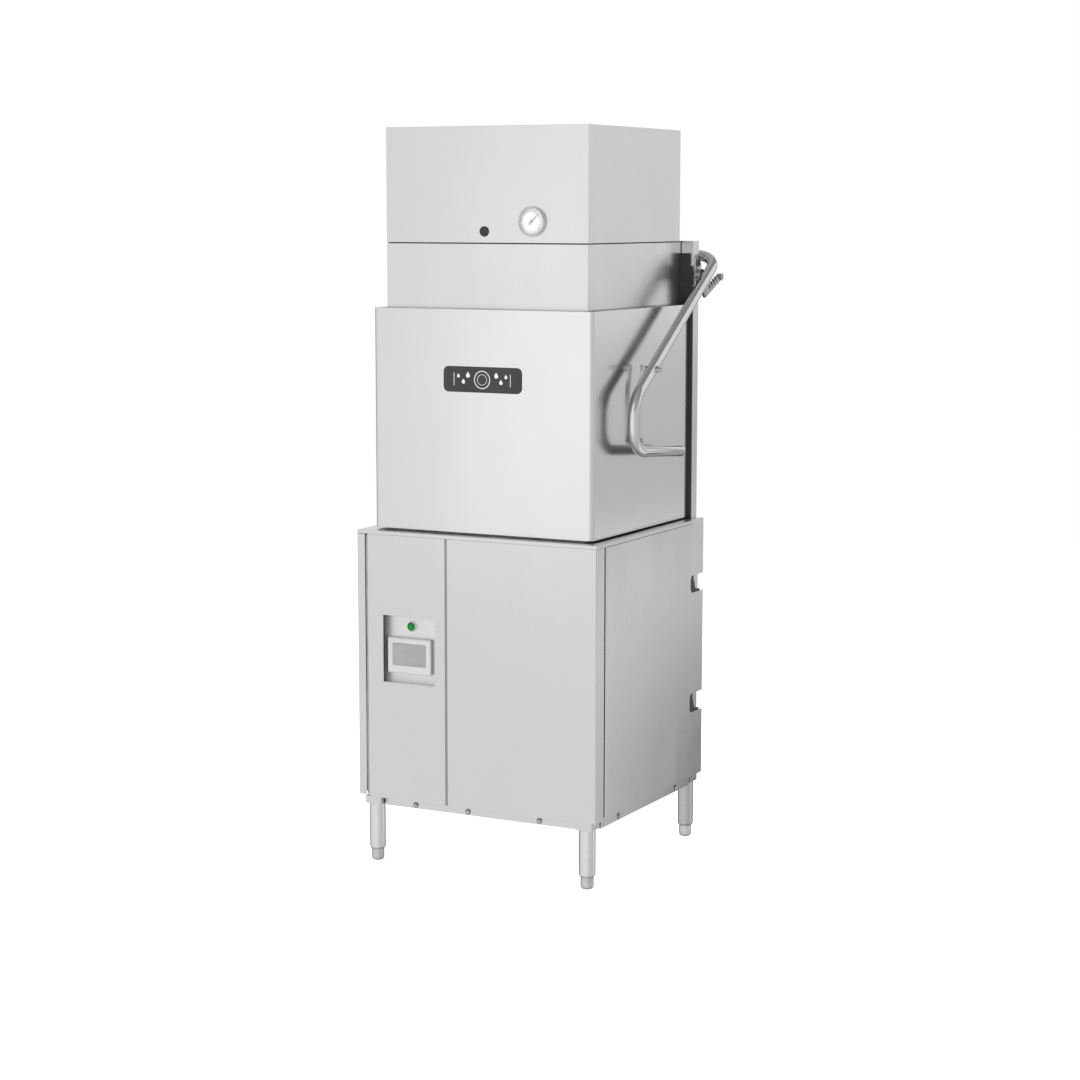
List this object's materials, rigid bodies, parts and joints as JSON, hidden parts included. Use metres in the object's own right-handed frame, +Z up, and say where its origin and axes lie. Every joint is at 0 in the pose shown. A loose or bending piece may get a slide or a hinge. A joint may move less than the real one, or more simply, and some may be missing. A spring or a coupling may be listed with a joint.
{
  "type": "commercial dishwasher",
  "caption": "Stainless hood-type pass-through dishwasher on legs, with a wrap-around lifting handle, front touch panel and a heat-recovery box on top.",
  "frame": {"origin": "middle of the overall footprint at floor level, under the feet", "axes": "+Z up, front with the control panel towards -Y, +X to the right seen from the front"},
  "size_m": [0.764, 0.767, 1.876],
  "materials": {
    "panel_steel": "satin brushed stainless sheet",
    "hood_steel": "fine satin stainless sheet",
    "polished_tube": "polished stainless tube",
    "cast_steel": "dull cast or machined stainless",
    "galvanised": "zinc-plated steel",
    "black_polymer": "black slippery polyethylene",
    "grey_polymer": "light grey moulded plastic",
    "screen_glass": "grey touch screen, unlit",
    "green_lens": "translucent green lens",
    "dial_white": "white enamel dial in a steel case",
    "motor_paint": "dark motor enamel",
    "copper": "bare copper",
    "badge_black": "satin black plate"
  },
  "bodies": {
    "cabinet": {"base_frame": "panel_steel", "leg_front_left": "polished_tube", "leg_front_right": "polished_tube", "leg_rear_left": "polished_tube", "leg_rear_right": "polished_tube", "side_panel_left": "panel_steel", "side_panel_right": "panel_steel", "control_panel": "panel_steel", "access_panel": "panel_steel", "rear_panel": "panel_steel", "control_recess": "panel_steel", "hmi_bezel": "grey_polymer", "hmi_screen": "screen_glass", "button_collar": "polished_tube", "wash_tank": "panel_steel", "rack_track": "polished_tube", "wash_manifold": "polished_tube", "tank_heater": "copper", "wash_pump": "cast_steel", "pump_motor": "motor_paint", "booster_tank": "galvanised", "drain_pipe": "galvanised", "column_left": "panel_steel", "column_right": "panel_steel", "door_guide_left": "black_polymer", "door_guide_right": "black_polymer", "pivot_bracket_left": "panel_steel", "pivot_bracket_right": "panel_steel", "upper_chamber": "hood_steel", "chamber_back": "hood_steel", "heat_recovery_cover": "panel_steel", "condenser_coil": "copper", "blower_housing": "galvanised", "blower_shaft": "galvanised", "temperature_gauge": "dial_white", "hole_plug": "black_polymer", "counter_spring_left": "galvanised", "counter_spring_right": "galvanised", "spring_anchor": "galvanised"},
    "hood": {"hood": "hood_steel", "hood_badge": "badge_black"},
    "handle": {"handle": "polished_tube", "spring_lever_left": "cast_steel", "spring_lever_right": "cast_steel"},
    "lift_link_left": {"lift_link_left": "polished_tube"},
    "lift_link_right": {"lift_link_right": "polished_tube"},
    "power_button": {"power_button": "green_lens"},
    "gauge_needle": {"gauge_needle": "black_polymer"},
    "upper_wash_arm": {"upper_wash_arm": "polished_tube"},
    "lower_wash_arm": {"lower_wash_arm": "polished_tube"},
    "upper_rinse_arm": {"upper_rinse_arm": "polished_tube"},
    "lower_rinse_arm": {"lower_rinse_arm": "polished_tube"},
    "pump_impeller": {"pump_impeller": "cast_steel"},
    "blower_wheel": {"blower_wheel": "galvanised"},
    "drain_standpipe": {"drain_standpipe": "polished_tube"},
    "scrap_basket": {"scrap_basket": "polished_tube"},
    "foot_front_left": {"foot_front_left": "cast_steel"},
    "foot_front_right": {"foot_front_right": "cast_steel"},
    "foot_rear_left": {"foot_rear_left": "cast_steel"},
    "foot_rear_right": {"foot_rear_right": "cast_steel"}
  },
  "joints": [
    {"name": "hood_lift", "type": "slide", "parent": "cabinet", "child": "hood", "axis": [0, 0, 1], "range_m": [0, 0.432], "deforming": ["counter_spring_left", "counter_spring_right"]},
    {"name": "handle_swing", "type": "hinge", "parent": "cabinet", "child": "handle", "pos_m": [0, 0.2345, 1.5044], "axis": [-1, 0, 0], "range_deg": [0, 64.16]},
    {"name": "lift_link_left_pivot", "type": "hinge", "parent": "hood", "child": "lift_link_left", "pos_m": [-0.3275, -0.1075, 1.0975], "axis": [1, 0, 0], "range_deg": [0, 4.57]},
    {"name": "lift_link_right_pivot", "type": "hinge", "parent": "hood", "child": "lift_link_right", "pos_m": [0.3275, -0.1075, 1.0975], "axis": [1, 0, 0], "range_deg": [0, 4.57]},
    {"name": "power_button_push", "type": "slide", "parent": "cabinet", "child": "power_button", "axis": [0, 1, 0], "range_m": [0, 0.0025], "stiffness_N_per_m": 600, "springref_m": -0.0015},
    {"name": "gauge_needle_turn", "type": "hinge", "parent": "cabinet", "child": "gauge_needle", "pos_m": [0.131, -0.3275, 1.643], "axis": [0, 1, 0], "range_deg": [-180, 90], "stiffness_Nm_per_rad": 0.002},
    {"name": "lower_wash_arm_spin", "type": "hinge", "parent": "cabinet", "child": "lower_wash_arm", "pos_m": [0, -0.0535, 0.819], "axis": [0, 0, 1], "continuous": true},
    {"name": "lower_rinse_arm_spin", "type": "hinge", "parent": "cabinet", "child": "lower_rinse_arm", "pos_m": [0, -0.0535, 0.848], "axis": [0, 0, 1], "continuous": true},
    {"name": "upper_wash_arm_spin", "type": "hinge", "parent": "cabinet", "child": "upper_wash_arm", "pos_m": [0, -0.0535, 1.307], "axis": [0, 0, 1], "continuous": true},
    {"name": "upper_rinse_arm_spin", "type": "hinge", "parent": "cabinet", "child": "upper_rinse_arm", "pos_m": [0, -0.0535, 1.278], "axis": [0, 0, 1], "continuous": true},
    {"name": "pump_spin", "type": "hinge", "parent": "cabinet", "child": "pump_impeller", "pos_m": [0, -0.0535, 0.5], "axis": [1, 0, 0], "continuous": true},
    {"name": "blower_spin", "type": "hinge", "parent": "cabinet", "child": "blower_wheel", "pos_m": [0, 0.0765, 1.78], "axis": [1, 0, 0], "continuous": true},
    {"name": "drain_lift", "type": "slide", "parent": "cabinet", "child": "drain_standpipe", "axis": [0, 0, 1], "range_m": [0, 0.03]},
    {"name": "basket_lift", "type": "slide", "parent": "cabinet", "child": "scrap_basket", "axis": [0, 0, 1], "range_m": [0, 0.05]},
    {"name": "foot_front_left_screw", "type": "slide", "parent": "cabinet", "child": "foot_front_left", "axis": [0, 0, -1], "range_m": [0, 0.025]},
    {"name": "foot_front_right_screw", "type": "slide", "parent": "cabinet", "child": "foot_front_right", "axis": [0, 0, -1], "range_m": [0, 0.025]},
    {"name": "foot_rear_left_screw", "type": "slide", "parent": "cabinet", "child": "foot_rear_left", "axis": [0, 0, -1], "range_m": [0, 0.025]},
    {"name": "foot_rear_right_screw", "type": "slide", "parent": "cabinet", "child": "foot_rear_right", "axis": [0, 0, -1], "range_m": [0, 0.025]}
  ],
  "couplings": [
    {"joint": "handle_swing", "follows": "hood_lift", "rad_per_m": 2.588},
    {"joint": "lift_link_left_pivot", "follows": "hood_lift", "rad_per_m": 0.1825},
    {"joint": "lift_link_right_pivot", "follows": "hood_lift", "rad_per_m": 0.1825}
  ]
}
